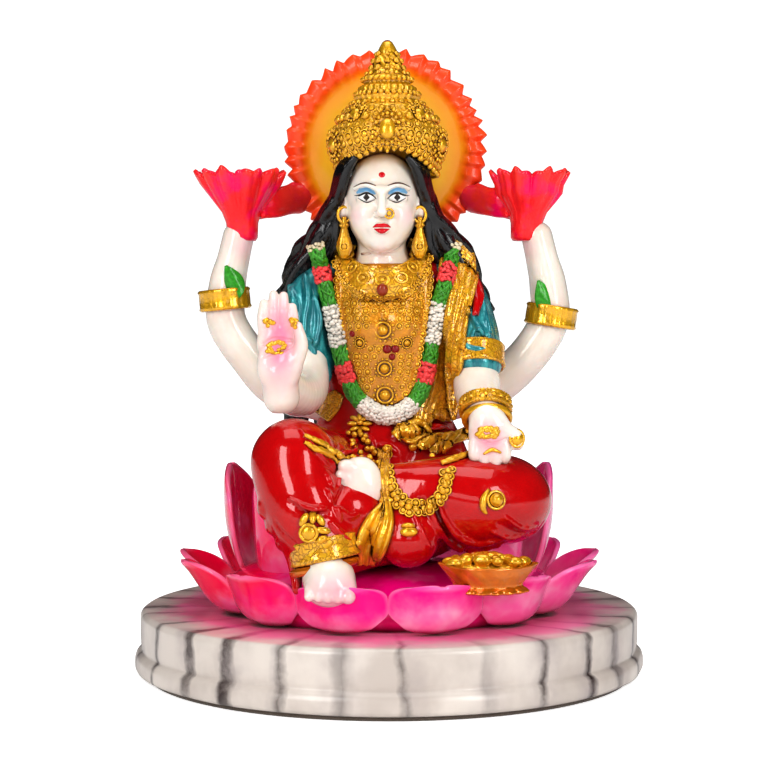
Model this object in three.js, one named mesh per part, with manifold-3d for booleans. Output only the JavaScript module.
// A seated four-armed goddess figurine on a double lotus and a round marbled plinth.
//
// Millimetres. +Z is up and the origin is the centre of the underside. The figure faces -Y, so
// her right side is at -X. "right" and "left" in every name are hers.
//
// The figurine is a stack of sculpted pieces that sink into each other. The list at the end puts
// them in order: each piece keeps its own shape, less the pieces before it in the list grown by GAP.
import * as THREE from "three";
import { mergeVertices } from "three/addons/utils/BufferGeometryUtils.js";
import Module from "manifold-3d";

const wasm = await Module();
wasm.setup();

// ---------------------------------------------------------------- driving dimensions, mm

const GAP = 0.3; // clearance between neighbouring pieces

const PLINTH_SIDES = 44; // facets round the plinth
const PAD_THICKNESS = 1.2;
const PAD_INSET = 3.5; // from the plinth's widest radius to the pad's edge

const PLINTH_RADIUS = 76.4; // at the lower moulding
const PLINTH_STEP = 1.6; // the upper drum stands in by this much
const PLINTH_HEIGHT = 19.5; // ground to the plinth's top
const GROOVE_HEIGHT = 7.8; // ground to the groove between moulding and drum
const GROOVE_DEPTH = 0.7;
const MOULDING_ROUND = 2.4;
const DRUM_ROUND = 1.6; // rounding of the drum's top edge

const SEAT_RADIUS = 51; // lotus seat that the petals grow from
const SEAT_RISE = 16; // plinth's top to the top of the seat

const OUTER_PETALS = 13;
const OUTER_TURN = -14; // degrees from -Y to the first outer petal
const INNER_PETALS = 7;
const INNER_FIRST = 66; // degrees from -Y to the foremost inner petal, on both sides

const SHOULDER_HEIGHT = 84; // seat to shoulders
const BODY_CENTRE = -1.5; // the body leans this far off the plinth's axis, in X
const BODY_HALF_WIDTH = 25;
const BODY_HALF_DEPTH = 14.5;
const ARM_RADIUS = 6.2;
const REAR_ARM_RADIUS = 6.2;
const SLEEVE_RADIUS = 7.9;
const BAND_WALL = 1.3; // bangle, armlets and anklet stand proud of the limb by this much
const BAND_DEPTH = 1.4; // and are let into it by this much
const ANKLE_RADIUS = 8.4;
const GARLAND_RADIUS = 3.1;

const NECK_LENGTH = 6.6;
const HEAD_HALF_WIDTH = 12.2;
const HEAD_HALF_DEPTH = 12.6;
const HEAD_HALF_HEIGHT = 15.6;
const NECK_RADIUS = 7.9;
const CROWN_RADIUS = 18.6;
const CROWN_HEIGHT = 40; // rim to tip

const HALO_RADIUS = 31.6; // over the points of the rays
const HALO_RAYS = 34;
const HALO_RAY_LENGTH = 2.8;
const HALO_THICKNESS = 3;

const LOTUS_CUP_RADIUS = 14.2; // rim of the flowers that the rear hands hold
const LOTUS_CUP_HEIGHT = 18.5;

const BOWL_HALF_LENGTH = 13.4;
const BOWL_HALF_DEPTH = 8.4;
const BOWL_HEIGHT = 7.2;

// ---------------------------------------------------------------- landmarks of the figure

const SEAT_Z = PLINTH_HEIGHT + SEAT_RISE;
const RIGHT = -1; // sign of X on her right side
const LEFT = 1;

const above = (x, y, up) => new THREE.Vector3(x, y, SEAT_Z + up); // a point above the seat's top
const from = (point, x, y, z) => point.clone().add(new THREE.Vector3(x, y, z));

// A point on the body: shares of its half-width, half-depth and the height of the shoulders.
const body = (x, y, z) =>
  above(BODY_CENTRE + x * BODY_HALF_WIDTH, y * BODY_HALF_DEPTH, z * SHOULDER_HEIGHT);

const NECK = from(body(0, 0, 1), 0, -4.5, 5);
const HEAD = from(NECK, -0.6, -1.5, NECK_LENGTH + HEAD_HALF_HEIGHT * 0.6);
const CROWN_RIM = from(HEAD, 1.6, 2.8, HEAD_HALF_HEIGHT * 0.5);
const HALO = from(HEAD, 1, 23.2, 17.5);

// The front arms differ: the right forearm is raised in blessing, the left one gives.
const RIGHT_SHOULDER = from(body(-1, 0, 1), 5, 2, -0.5);
const RIGHT_SLEEVE_END = from(RIGHT_SHOULDER, -5.4, -8.5, -22.5);
const RIGHT_ELBOW = from(RIGHT_SLEEVE_END, 1.4, -7.5, -9.5);
const RIGHT_FOREARM_END = from(RIGHT_ELBOW, -4.6, -17, 0);
const RIGHT_WRIST = from(RIGHT_FOREARM_END, -0.9, -3.5, 2.5);
const RIGHT_FINGERTIPS = from(RIGHT_WRIST, -0.2, -3, 26);
const LEFT_SHOULDER = from(body(1, 0, 1), -2.5, 2, -0.5);
const LEFT_SLEEVE_END = from(LEFT_SHOULDER, 6.1, -11.5, -24.5);
const LEFT_FOREARM_END = from(LEFT_SLEEVE_END, 0.2, -15, -12.2);
const LEFT_WRIST = from(LEFT_FOREARM_END, 0.6, -5.5, -3.1);
const LEFT_FINGERTIPS = from(LEFT_WRIST, 1, -9, -15.7);

const REAR_ARMS = [
  { side: RIGHT, elbow: from(body(-1, 0, 0.9), -23.6, 8, 0), wrist: from(body(-1, 0, 1.12), -19.5, 8, 0) },
  { side: LEFT, elbow: from(body(1, 0, 0.84), 26, 8, 0), wrist: from(body(1, 0, 1.12), 18.8, 8, 0) },
];

const RIGHT_HIP = above(-13, 2, 14);
const RIGHT_KNEE = above(-26.8, -39, 31.5);
const RIGHT_ANKLE = above(-18.2, -46.5, 5.5);
const LEFT_HIP = above(13, 3, 14);
const LEFT_KNEE = above(34.6, -26, 18.5);
const LEFT_ANKLE = above(-1, -37, 23);

// ---------------------------------------------------------------- making solids

const DEPTH = new THREE.Vector3(0, 1, 0);
const UP = new THREE.Vector3(0, 0, 1);

// A closed three.js geometry as a solid.
function solidOf(geometry) {
  geometry.deleteAttribute("normal");
  geometry.deleteAttribute("uv");
  const merged = mergeVertices(geometry, 1e-4);
  return new wasm.Manifold(
    new wasm.Mesh({
      numProp: 3,
      vertProperties: merged.attributes.position.array,
      triVerts: new Uint32Array(merged.index.array),
    }),
  );
}

function geometryOf(solid) {
  const mesh = solid.getMesh();
  const geometry = new THREE.BufferGeometry();
  geometry.setAttribute("position", new THREE.BufferAttribute(mesh.vertProperties, 3));
  geometry.setIndex(new THREE.BufferAttribute(mesh.triVerts, 1));
  geometry.computeVertexNormals();
  geometry.computeBoundingBox();
  return geometry;
}

// Replaces every vertex of a geometry by move(vertex).
function reshape(geometry, move) {
  const position = geometry.attributes.position;
  const vertex = new THREE.Vector3();
  for (let i = 0; i < position.count; i++) {
    const moved = move(vertex.fromBufferAttribute(position, i));
    position.setXYZ(i, moved.x, moved.y, moved.z);
  }
  return geometry;
}

function spheroid(centre, radii, grow = 0, sides = 14) {
  const geometry = new THREE.SphereGeometry(1, sides, Math.round(sides * 0.7));
  geometry.rotateX(Math.PI / 2);
  geometry.scale(...radii.map((r) => r + grow));
  geometry.translate(centre.x, centre.y, centre.z);
  return solidOf(geometry);
}

// A turned solid about +Z at centre. The profile's points are [radius, height], from the axis
// and back to it; flat squashes it front to back.
function turned(centre, profile, { sides = 32, flat = 1, tilt = 0 } = {}) {
  const outline = profile.map(([r, z]) => new THREE.Vector2(r, z));
  const geometry = new THREE.LatheGeometry(outline, sides);
  geometry.rotateX(Math.PI / 2);
  geometry.scale(1, flat, 1);
  geometry.rotateY(tilt);
  geometry.translate(centre.x, centre.y, centre.z);
  return solidOf(geometry);
}

// Value at t, from 0 to 1, along a list of numbers.
function along(values, t) {
  const place = t * (values.length - 1);
  const i = Math.min(values.length - 2, Math.floor(place));
  return THREE.MathUtils.lerp(values[i], values[i + 1], THREE.MathUtils.smoothstep(place - i, 0, 1));
}

// A round-ended tube along a smooth curve through points. wide and deep list its half-widths
// across and along facing, evenly spread over the curve.
function limb(points, wide, { deep = wide, facing = DEPTH, grow = 0, sides = 10, rings = 6 } = {}) {
  const CAP = 2; // rings in each rounded end
  const curve = new THREE.CatmullRomCurve3(points, false, "centripetal");
  const rows = rings + 2 * CAP;
  const geometry = new THREE.SphereGeometry(1, sides, rows);
  return solidOf(
    reshape(geometry, ({ x, y, z }) => {
      const row = Math.round((Math.acos(THREE.MathUtils.clamp(y, -1, 1)) / Math.PI) * rows);
      const angle = Math.atan2(z, x);
      const t = THREE.MathUtils.clamp((row - CAP) / rings, 0, 1);
      const tangent = curve.getTangentAt(t);
      const front = facing.clone().addScaledVector(tangent, -facing.dot(tangent)).normalize();
      const side = front.clone().cross(tangent);
      const halfWide = along(wide, t) + grow;
      const halfDeep = along(deep, t) + grow;
      const past = row < CAP ? row - CAP : Math.max(0, row - CAP - rings);
      const round = ((Math.PI / 2) * Math.abs(past)) / CAP;
      const shrink = Math.cos(round);
      return curve
        .getPointAt(t)
        .addScaledVector(tangent, Math.sign(past) * Math.sin(round) * Math.min(halfWide, halfDeep))
        .addScaledVector(side, Math.cos(angle) * halfWide * shrink)
        .addScaledVector(front, Math.sin(angle) * halfDeep * shrink);
    }),
  );
}

// A straight drum of a height, centred on a point and turned along a direction.
function drum(centre, direction, radius, height, sides = 20) {
  const geometry = new THREE.CylinderGeometry(radius, radius, height, sides);
  geometry.applyQuaternion(new THREE.Quaternion().setFromUnitVectors(DEPTH, direction.clone().normalize()));
  geometry.translate(centre.x, centre.y, centre.z);
  return solidOf(geometry);
}

// A band let into a limb: from BAND_DEPTH under the limb's radius to BAND_WALL proud of it.
function ring(centre, direction, radius, height, grow) {
  const outer = drum(centre, direction, radius + BAND_WALL + grow, height + 2 * grow);
  return outer.subtract(drum(centre, direction, radius - BAND_DEPTH - grow, height * 2));
}

// A petal that leaves the axis at a heading, rising from one slope to another along an arc.
// It starts at radius and height, is cupped across, and narrows to a blunt point.
function petal(heading, p, grow = 0) {
  const ACROSS = 4;
  const ALONG = 4;
  const BLUNT = 0.07; // width left at the point, as a share
  const geometry = new THREE.BoxGeometry(2, 1, 2, ACROSS, ALONG, 1);
  const turn = p.slopeEnd - p.slopeStart;
  const spin = new THREE.Matrix4().makeRotationZ(heading);
  return solidOf(
    reshape(geometry, ({ x: across, y, z: face }) => {
      const v = y + 0.5;
      const slope = p.slopeStart + turn * v;
      const reach = (p.length / turn) * (Math.sin(slope) - Math.sin(p.slopeStart)) + p.radius;
      const rise = (p.length / turn) * (Math.cos(p.slopeStart) - Math.cos(slope)) + p.height;
      const taper = Math.max(0, (v - p.shoulder) / (1 - p.shoulder));
      const swell = THREE.MathUtils.lerp(p.root, 1, Math.sin((Math.PI / 2) * Math.min(1, v / p.shoulder)));
      const share = Math.max(BLUNT, swell * Math.sqrt(1 - taper ** p.point));
      const half = (p.width / 2) * share + grow;
      const offset = p.cup * (across * share) ** 2 + face * (p.thickness / 2 + grow);
      return new THREE.Vector3(
        -across * half,
        -(reach - offset * Math.sin(slope)) - grow * Math.sign(v - 0.5) * Math.cos(slope),
        rise + offset * Math.cos(slope),
      ).applyMatrix4(spin);
    }),
  );
}

// ---------------------------------------------------------------- plinth and lotus

function plinth() {
  const rounded = (radius, top, round, steps = 3) =>
    Array.from({ length: steps + 1 }, (_, i) => {
      const a = ((i / steps) * Math.PI) / 2;
      return [radius - round * (1 - Math.cos(a)), top - round * (1 - Math.sin(a))];
    });
  const bottom = PAD_THICKNESS + GAP;
  const drumRadius = PLINTH_RADIUS - PLINTH_STEP;
  const profile = [
    [0, bottom],
    [PLINTH_RADIUS - MOULDING_ROUND, bottom],
    [PLINTH_RADIUS - MOULDING_ROUND * 0.3, bottom + MOULDING_ROUND * 0.7],
    ...rounded(PLINTH_RADIUS, GROOVE_HEIGHT, MOULDING_ROUND),
    [drumRadius - GROOVE_DEPTH, GROOVE_HEIGHT + GROOVE_DEPTH * 0.3],
    [drumRadius, GROOVE_HEIGHT + GROOVE_DEPTH * 2],
    ...rounded(drumRadius, PLINTH_HEIGHT, DRUM_ROUND),
    [0, PLINTH_HEIGHT],
  ];
  return turned(new THREE.Vector3(), profile, { sides: PLINTH_SIDES });
}

function basePad() {
  const centre = new THREE.Vector3(0, 0, PAD_THICKNESS / 2);
  return drum(centre, UP, PLINTH_RADIUS - PAD_INSET, PAD_THICKNESS, PLINTH_SIDES);
}

function lotusSeat() {
  const foot = PLINTH_HEIGHT + GAP;
  const profile = [
    [0, foot],
    [SEAT_RADIUS - 4, foot],
    [SEAT_RADIUS, foot + SEAT_RISE * 0.3],
    [SEAT_RADIUS - 4, foot + SEAT_RISE * 0.66],
    [SEAT_RADIUS - 16, SEAT_Z - 0.8],
    [SEAT_RADIUS - 28, SEAT_Z],
    [0, SEAT_Z],
  ];
  return turned(new THREE.Vector3(), profile, { sides: 26 });
}

const degrees = THREE.MathUtils.degToRad;

const OUTER_PETAL = {
  radius: SEAT_RADIUS - 5.5,
  height: PLINTH_HEIGHT + 1.8,
  length: 23,
  width: (2 * Math.PI * (SEAT_RADIUS + 2)) / OUTER_PETALS - GAP,
  thickness: 1.8,
  slopeStart: degrees(8),
  slopeEnd: degrees(68),
  cup: 3,
  root: 0.62,
  shoulder: 0.5,
  point: 2.6,
};

const INNER_PETAL = {
  radius: SEAT_RADIUS - 9,
  height: SEAT_Z - 5.5,
  length: 34,
  width: 27,
  thickness: 1.9,
  slopeStart: degrees(52),
  slopeEnd: degrees(102),
  cup: 3.4,
  root: 0.6,
  shoulder: 0.5,
  point: 2.2,
};

const outerHeading = (i) => degrees(OUTER_TURN + (360 / OUTER_PETALS) * i);
const innerHeading = (i) => degrees(INNER_FIRST + ((360 - 2 * INNER_FIRST) / (INNER_PETALS - 1)) * i);

// ---------------------------------------------------------------- head, crown, hair, halo

function head(grow) {
  const skull = spheroid(HEAD, [HEAD_HALF_WIDTH, HEAD_HALF_DEPTH, HEAD_HALF_HEIGHT], grow, 16);
  const jaw = from(HEAD, 0, 2, -HEAD_HALF_HEIGHT * 0.5);
  const neck = limb([NECK, jaw], [NECK_RADIUS, NECK_RADIUS], { grow, rings: 3 });
  return skull.add(neck);
}

function crown(grow) {
  const r = CROWN_RADIUS + grow;
  const h = CROWN_HEIGHT;
  const profile = [
    [0, -grow],
    [r * 0.78, -grow],
    [r * 0.92, h * 0.05],
    [r, h * 0.17],
    [r * 0.97, h * 0.29],
    [r * 0.8, h * 0.42],
    [r * 0.66, h * 0.52],
    [r * 0.68, h * 0.58],
    [r * 0.48, h * 0.7],
    [r * 0.34, h * 0.78],
    [r * 0.24, h * 0.9],
    [r * 0.12, h * 0.985 + grow],
    [0, h + grow],
  ];
  return turned(CROWN_RIM, profile, { sides: 20, flat: 0.9 });
}

function earring({ side }, grow) {
  const points = [
    from(HEAD, side * (HEAD_HALF_WIDTH + 0.3), -0.5, -3.5),
    from(HEAD, side * (HEAD_HALF_WIDTH - 0.4), -2.5, -9.5),
    from(HEAD, side * (HEAD_HALF_WIDTH - 1.2), -4, -14.5),
  ];
  return limb(points, [1.3, 1.9, 2.6], { grow, sides: 8, rings: 5 });
}

function hair(grow) {
  const points = [
    from(HEAD, 0, 10, 8),
    from(HEAD, 0, 11.5, 0),
    body(-0.03, 0.51, 1.107),
    body(-0.03, 0.72, 0.952),
    body(-0.03, 0.86, 0.738),
    body(-0.03, 0.86, 0.524),
  ];
  const w = BODY_HALF_WIDTH;
  const wide = [HEAD_HALF_WIDTH - 1, HEAD_HALF_WIDTH + 4.3, w - 1, w + 6.5, w + 6, w + 2];
  return limb(points, wide, { deep: [7, 8, 7.4, 6, 5, 4.5], grow, sides: 12, rings: 7 });
}

function halo(grow) {
  const outline = new THREE.Shape();
  for (let i = 0; i < HALO_RAYS * 2; i++) {
    const a = (i / HALO_RAYS) * Math.PI;
    const r = HALO_RADIUS - HALO_RAY_LENGTH * (i % 2) + grow;
    outline.lineTo(r * Math.sin(a), r * Math.cos(a));
  }
  const depth = HALO_THICKNESS + 2 * grow;
  const geometry = new THREE.ExtrudeGeometry(outline, { depth, bevelEnabled: false });
  geometry.translate(0, 0, -depth / 2);
  geometry.rotateX(Math.PI / 2);
  geometry.translate(HALO.x, HALO.y, HALO.z);
  return solidOf(geometry);
}

// ---------------------------------------------------------------- body and dress

function torso(grow) {
  const w = BODY_HALF_WIDTH;
  const d = BODY_HALF_DEPTH;
  const points = [
    above(0, 2.5, 20),
    body(0, 0.07, 0.48),
    body(0, 0, 0.71),
    body(0, 0, 0.88),
    body(0, 0.07, 1),
  ];
  return limb(points, [w, w - 1, w - 1.5, w - 1, w * 0.62], {
    deep: [d + 2, d, d - 0.5, d - 2, d * 0.58],
    grow,
    sides: 14,
    rings: 6,
  });
}

// The jewelled front panel that hangs from the necklace down the chest.
function breastplate(grow) {
  const points = [body(0, -0.6, 1), body(0, -0.8, 0.89), body(0, -0.87, 0.74), body(0, -0.9, 0.6)];
  const wide = [0.52, 0.7, 0.54, 0.36].map((share) => share * BODY_HALF_WIDTH);
  return limb(points, wide, { deep: [4, 5.2, 5.2, 4.6], grow, sides: 12 });
}

function collar(grow) {
  const points = [
    body(-0.68, -0.18, 1.03),
    body(-0.42, -0.76, 0.98),
    body(-0.03, -1.04, 0.945),
    body(0.36, -0.76, 0.98),
    body(0.62, -0.18, 1.03),
  ];
  const deep = [2.6, 3.2, 3.6, 3.2, 2.6];
  return limb(points, [3, 4.4, 5.2, 4.4, 3], { deep, grow, sides: 8, rings: 8 });
}

function garland(grow) {
  const points = [
    body(-0.82, -0.52, 1.07),
    body(-0.73, -1, 0.965),
    body(-0.6, -1.25, 0.775),
    body(-0.44, -1.36, 0.6),
    body(-0.2, -1.46, 0.518),
    body(0.04, -1.48, 0.5),
    body(0.28, -1.46, 0.518),
    body(0.46, -1.36, 0.615),
    body(0.58, -1.25, 0.785),
    body(0.73, -1, 0.965),
    body(0.83, -0.52, 1.077),
  ];
  return limb(points, [GARLAND_RADIUS, GARLAND_RADIUS], { grow, sides: 7, rings: 20 });
}

// The gold end of the sari, pleated over her left shoulder.
function sariDrape(grow) {
  const points = [
    body(0.86, 0.03, 1.077),
    body(0.98, -0.6, 1),
    body(0.94, -0.97, 0.83),
    body(0.84, -1.14, 0.667),
    body(0.79, -1.18, 0.488),
  ];
  return limb(points, [5.4, 6, 5.2, 4.4, 3.8], { deep: [3, 3, 3, 2.8, 2.6], grow, rings: 10 });
}

function rightLeg(grow) {
  const thigh = limb([RIGHT_HIP, above(-20.5, -19, 23.5), RIGHT_KNEE], [12.5, 12, 10.8], { grow });
  const shin = limb([RIGHT_KNEE, above(-22.5, -44, 18.5), RIGHT_ANKLE], [10.8, 11.8, 8.8], {
    deep: [10.8, 9.5, 7.5],
    grow,
  });
  return thigh.add(shin);
}

function leftLeg(grow) {
  const thigh = limb([LEFT_HIP, above(25, -11, 17.5), LEFT_KNEE], [13, 12.5, 11.6], { grow });
  const shin = limb([LEFT_KNEE, above(19, -37, 14), LEFT_ANKLE], [11.6, 10.5, 6.5], { grow });
  return thigh.add(shin);
}

// The cloth between the legs, with the fold that falls to the seat.
function lap(grow) {
  const hips = spheroid(above(0, -6, 15), [31, 25, 14.5], grow, 16);
  const fold = limb([above(2, -26, 16), above(5, -38, 9), above(6, -43, 2)], [15, 12.5, 8.5], { grow });
  return hips.add(fold);
}

function belt(grow) {
  const points = [
    above(-22, -17, 37.5),
    above(-13, -25, 34.5),
    above(0, -28.5, 33.5),
    above(13, -25.5, 34.5),
    above(23, -18, 36.5),
  ];
  return limb(points, [2.4, 2.4], { grow, sides: 7, rings: 8 });
}

function festoon(grow) {
  const points = [
    above(0.5, -30, 33),
    above(2.5, -37, 25.5),
    above(8.5, -40.5, 20.5),
    above(15, -38, 24.5),
    above(17.5, -32, 32),
  ];
  return limb(points, [2.2, 2.2], { grow, sides: 7, rings: 9 });
}

function sash(grow) {
  const points = [above(-3.4, -33, 31), above(-4.2, -39.5, 22), above(-5.6, -43, 12), above(-8.2, -47, 3.5)];
  return limb(points, [3, 3, 3.8, 4.4], { deep: [2, 2, 2, 2], grow });
}

const anklet = (grow) => ring(RIGHT_ANKLE, new THREE.Vector3(-0.12, 0.2, 1), ANKLE_RADIUS, 5, grow);

function rightFoot(grow) {
  const heel = from(RIGHT_ANKLE, 0.4, 1, -2.5);
  const toes = from(RIGHT_ANKLE, 1.8, -12, -8.9);
  const instep = from(heel.clone().lerp(toes, 0.5), 0, 0, 0.8);
  return limb([heel, instep, toes], [5.4, 6.6, 6.4], { deep: [4.2, 3.8, 2.4], facing: UP, grow });
}

function leftFoot(grow) {
  const heel = from(LEFT_ANKLE, -3.4, -1, 7);
  const toes = from(LEFT_ANKLE, -8.4, -6, -3);
  const sole = from(heel.clone().lerp(toes, 0.5), -1, -2, 0);
  return limb([heel, sole, toes], [4.4, 5.2, 4.6], { deep: [3.2, 3.4, 2.8], grow });
}

// ---------------------------------------------------------------- front arms

const sleeve = (shoulder, end, grow) => {
  const r = SLEEVE_RADIUS;
  const out = Math.sign(end.x - shoulder.x);
  const bend = from(shoulder.clone().lerp(end, 0.33), out * 2.8, 0.5, 0);
  return limb([shoulder, bend, end], [r, r + 0.3, r - 0.8], { grow });
};

function rightForearm(grow) {
  const r = ARM_RADIUS;
  const middle = from(RIGHT_ELBOW, -1.4, -10, -4);
  const wide = [r - 0.2, r + 0.4, r - 0.6, r - 1.9];
  return limb([RIGHT_SLEEVE_END, RIGHT_ELBOW, middle, RIGHT_FOREARM_END], wide, { grow, rings: 8 });
}

function leftForearm(grow) {
  const r = ARM_RADIUS;
  const middle = from(LEFT_SLEEVE_END.clone().lerp(LEFT_FOREARM_END, 0.55), -0.6, 0, -1.6);
  return limb([LEFT_SLEEVE_END, middle, LEFT_FOREARM_END], [r - 0.2, r, r - 0.8], { grow });
}

// A hand seen from its palm, which faces the front: a palm, four fingers and a thumb.
function hand(start, wrist, tips, thumbSide, grow) {
  const REACH = [0.9, 1, 0.97, 0.84]; // of each finger, from the thumb's side, as a share
  const SPACING = 2.9;
  const at = (share, across = 0, forward = 0) => from(wrist.clone().lerp(tips, share), across, -forward, 0);
  let solid = limb([start, wrist, at(0.3), at(0.55)], [ARM_RADIUS - 1.3, 4.6, 6.1, 5.6], {
    deep: [ARM_RADIUS - 1.6, 3.6, 2.9, 2],
    grow,
  });
  REACH.forEach((reach, i) => {
    const across = thumbSide * (1.5 - i) * SPACING;
    const finger = limb([at(0.45, across), at(reach - 0.05, across * 0.94)], [1.7, 1.35], {
      grow,
      sides: 7,
      rings: 2,
    });
    solid = solid.add(finger);
  });
  const thumb = [
    at(0.12, thumbSide * 3.6, 0.6),
    at(0.34, thumbSide * 6.4, 1.4),
    at(0.54, thumbSide * 6.6, 2),
  ];
  return solid.add(limb(thumb, [2, 1.9, 1.4], { grow, sides: 7, rings: 3 }));
}

const bangle = (grow) =>
  ring(LEFT_WRIST, LEFT_WRIST.clone().sub(LEFT_FOREARM_END), ARM_RADIUS - 1, 4.6, grow);

// ---------------------------------------------------------------- rear arms

// From the back, out and up to the elbow.
function rearUpperArm({ side, elbow }, grow) {
  const r = REAR_ARM_RADIUS;
  const root = body(side * 0.9, 0.52, 0.56);
  const low = from(body(side, 0.62, 0.55), side * 5.5, 0, 0);
  const middle = from(low.clone().lerp(elbow, 0.55), side * 2.6, 0, -2.4);
  return limb([root, low, middle, elbow], [r - 0.6, r + 0.2, r + 0.2, r - 0.6], { grow });
}

function rearForearm({ side, elbow, wrist }, grow) {
  const r = REAR_ARM_RADIUS;
  const middle = from(elbow.clone().lerp(wrist, 0.5), side * 1.8, 0, 0);
  return limb([from(elbow, 0, 0, 3), middle, wrist], [r - 0.8, r, r - 1.8], { grow });
}

function armlet({ side, elbow }, grow) {
  const heading = new THREE.Vector3(side * 0.18, 0, 1);
  return ring(from(elbow, 0, 0, 0.8), heading, REAR_ARM_RADIUS - 0.4, 5.4, grow);
}

// The flower that a rear hand holds, leaning away from the halo.
function heldLotus({ side, wrist }, grow) {
  const r = LOTUS_CUP_RADIUS + grow;
  const h = LOTUS_CUP_HEIGHT;
  const profile = [
    [0, -grow],
    [r * 0.42, -grow],
    [r * 0.5, h * 0.26],
    [r * 0.84, h * 0.54],
    [r, h * 0.9],
    [r * 0.94, h + grow],
    [0, h * 0.86 + grow],
  ];
  return turned(from(wrist, 0, 0, 1), profile, { sides: 16, flat: 0.62, tilt: -side * 0.14 });
}

// ---------------------------------------------------------------- offering bowl

const BOWL_HEADING = degrees(28.3); // the bowl stands on the petals beside the folded knee
const BOWL_REACH = SEAT_RADIUS + 6.35;
const BOWL = above(BOWL_REACH * Math.sin(BOWL_HEADING), -BOWL_REACH * Math.cos(BOWL_HEADING), -4.6);

function bowl(grow) {
  const r = BOWL_HALF_LENGTH + grow;
  const h = BOWL_HEIGHT;
  const profile = [
    [0, -grow],
    [r * 0.42, -grow],
    [r * 0.5, h * 0.14],
    [r * 0.8, h * 0.55],
    [r, h + grow],
    [0, h + grow],
  ];
  return turned(BOWL, profile, { sides: 24, flat: BOWL_HALF_DEPTH / BOWL_HALF_LENGTH });
}

function coins(grow) {
  const r = BOWL_HALF_LENGTH * 0.86 + grow;
  const foot = BOWL_HEIGHT + GAP;
  const profile = [
    [0, foot],
    [r, foot],
    [r * 0.8, foot + 2.2 + grow],
    [r * 0.3, foot + 3.6 + grow],
    [0, foot + 3.8 + grow],
  ];
  return turned(BOWL, profile, { sides: 18, flat: BOWL_HALF_DEPTH / BOWL_HALF_LENGTH });
}

// ---------------------------------------------------------------- materials

const paint = (color, roughness = 0.2, metalness = 0) => ({ color, roughness, metalness });
const SKIN = paint(0xf3ece2, 0.18);
const GOLD = paint(0xc8900f, 0.32, 0.6);
const RED = paint(0xc40a14, 0.15);
const PINK = paint(0xf0268c, 0.22);
const MARBLE = paint(0xdcd4ca, 0.3);
const BLACK = paint(0x0b0a0b, 0.18);
const TEAL = paint(0x1f8f97, 0.25);
const ORANGE = paint(0xff7a10, 0.25);
const FLOWER = paint(0xf2243a, 0.22);
const GARLAND = paint(0xeee8dd, 0.5);
const FELT = paint(0x3a2c24, 0.95);

// ---------------------------------------------------------------- the pieces, foremost first

const numbered = (name, count, look, shape) =>
  Array.from({ length: count }, (_, i) => [
    `${name}_${String(i + 1).padStart(2, "0")}`,
    look,
    (grow) => shape(i, grow),
  ]);

const onBothSides = (name, look, shape) =>
  REAR_ARMS.map((arm) => [
    `${arm.side === RIGHT ? "right" : "left"}_${name}`,
    look,
    (grow) => shape(arm, grow),
  ]);

const PIECES = [
  ["base_pad", FELT, basePad],
  ["plinth", MARBLE, plinth],
  ["coins", GOLD, coins],
  ["offering_bowl", GOLD, bowl],
  ["anklet", GOLD, anklet],
  ["bangle", GOLD, bangle],
  ...onBothSides("armlet", GOLD, armlet),
  ["right_foot", SKIN, rightFoot],
  ["left_foot", SKIN, leftFoot],
  ["sash", GOLD, sash],
  ["festoon", GOLD, festoon],
  ["belt", GOLD, belt],
  ["right_hand", SKIN, (grow) => hand(RIGHT_FOREARM_END, RIGHT_WRIST, RIGHT_FINGERTIPS, LEFT, grow)],
  ["left_hand", SKIN, (grow) => hand(LEFT_FOREARM_END, LEFT_WRIST, LEFT_FINGERTIPS, LEFT, grow)],
  ["right_forearm", SKIN, rightForearm],
  ["left_forearm", SKIN, leftForearm],
  ["garland", GARLAND, garland],
  ["sari_drape", GOLD, sariDrape],
  ["collar", GOLD, collar],
  ["right_sleeve", TEAL, (grow) => sleeve(RIGHT_SHOULDER, RIGHT_SLEEVE_END, grow)],
  ["left_sleeve", TEAL, (grow) => sleeve(LEFT_SHOULDER, LEFT_SLEEVE_END, grow)],
  ["breastplate", GOLD, breastplate],
  ...onBothSides("earring", GOLD, earring),
  ["head", SKIN, head],
  ["crown", GOLD, crown],
  ...onBothSides("rear_forearm", SKIN, rearForearm),
  ...onBothSides("rear_arm", SKIN, rearUpperArm),
  ...onBothSides("held_lotus", FLOWER, heldLotus),
  ["halo", ORANGE, halo],
  ["right_leg", RED, rightLeg],
  ["left_leg", RED, leftLeg],
  ["lap", RED, lap],
  ["torso", RED, torso],
  ["hair", BLACK, hair],
  ...numbered("inner_petal", INNER_PETALS, PINK, (i, grow) => petal(innerHeading(i), INNER_PETAL, grow)),
  ...numbered("outer_petal", OUTER_PETALS, PINK, (i, grow) => petal(outerHeading(i), OUTER_PETAL, grow)),
  ["lotus_seat", PINK, lotusSeat],
];

function boxesMeet(a, b) {
  const p = a.boundingBox();
  const q = b.boundingBox();
  return [0, 1, 2].every((k) => p.min[k] < q.max[k] && q.min[k] < p.max[k]);
}

// A mesh that carries its own place: its geometry is centred on its position.
function placedMesh(name, look, solid) {
  const geometry = geometryOf(solid);
  const centre = geometry.boundingBox.getCenter(new THREE.Vector3());
  geometry.translate(-centre.x, -centre.y, -centre.z);
  const mesh = new THREE.Mesh(geometry, new THREE.MeshStandardMaterial(look));
  mesh.name = name;
  mesh.position.copy(centre);
  return mesh;
}

const figurine = new THREE.Group();
const taken = []; // the pieces so far, grown by the clearance
for (const [name, look, shape] of PIECES) {
  const solid = taken
    .filter((earlier) => boxesMeet(shape(0), earlier))
    .reduce((rest, earlier) => rest.subtract(earlier), shape(0));
  figurine.add(placedMesh(name, look, solid));
  taken.push(shape(GAP));
}

export default figurine;
